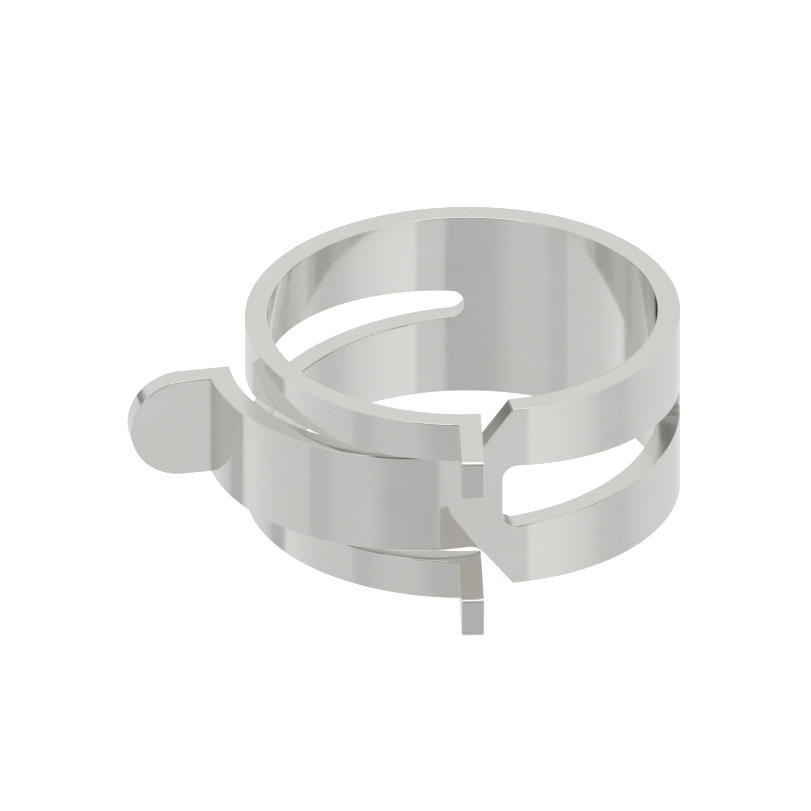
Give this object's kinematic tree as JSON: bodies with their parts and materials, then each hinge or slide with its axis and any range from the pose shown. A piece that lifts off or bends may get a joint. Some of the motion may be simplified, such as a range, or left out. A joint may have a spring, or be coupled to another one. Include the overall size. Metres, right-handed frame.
{
  "type": "spring band clamp",
  "caption": "One-piece spring band hose clamp: a rolled steel strip whose narrow tongue passes through a forked end, with outward tangs to squeeze it open.",
  "frame": {"origin": "on the axis of the ring, which is the hose's axis, at the middle of the band's width", "axes": "+Z along the hose's axis and the band's width; the legs' tangs point along -Y and the tongue's tang along -X"},
  "size_m": [0.0415, 0.0386, 0.015],
  "materials": {
    "spring_steel": "bright smooth plated spring steel"
  },
  "bodies": {
    "back": {"back_band": "spring_steel"},
    "fork_bow": {"fork_upper_rail": "spring_steel", "fork_lower_rail": "spring_steel"},
    "fork_end": {"fork_upper_leg": "spring_steel", "fork_lower_leg": "spring_steel", "fork_upper_tang": "spring_steel", "fork_lower_tang": "spring_steel"},
    "slot_bow": {"slot_upper_rail": "spring_steel", "slot_lower_rail": "spring_steel", "tongue_shoulder": "spring_steel"},
    "tongue_end": {"tongue": "spring_steel", "tongue_tang": "spring_steel"}
  },
  "joints": [
    {"name": "fork_flex", "type": "hinge", "parent": "back", "child": "fork_bow", "pos_m": [-0.00653, 0.01405, 0], "axis": [0, 0, -1], "range_deg": [0, 16], "stiffness_Nm_per_rad": 0.1},
    {"name": "leg_flex", "type": "hinge", "parent": "fork_bow", "child": "fork_end", "pos_m": [-0.0153, -0.00267, 0], "axis": [0, 0, -1], "range_deg": [0, 16], "stiffness_Nm_per_rad": 0.1},
    {"name": "slot_flex", "type": "hinge", "parent": "back", "child": "slot_bow", "pos_m": [0.01524, -0.00153, 0], "axis": [0, 0, 1], "range_deg": [0, 16], "stiffness_Nm_per_rad": 0.1},
    {"name": "tongue_flex", "type": "hinge", "parent": "slot_bow", "child": "tongue_end", "pos_m": [-0.00145, -0.01435, 0], "axis": [0, 0, 1], "range_deg": [0, 16], "stiffness_Nm_per_rad": 0.1}
  ],
  "couplings": [
    {"joint": "leg_flex", "follows": "fork_flex", "ratio": 1},
    {"joint": "slot_flex", "follows": "fork_flex", "ratio": 1},
    {"joint": "tongue_flex", "follows": "fork_flex", "ratio": 1}
  ]
}
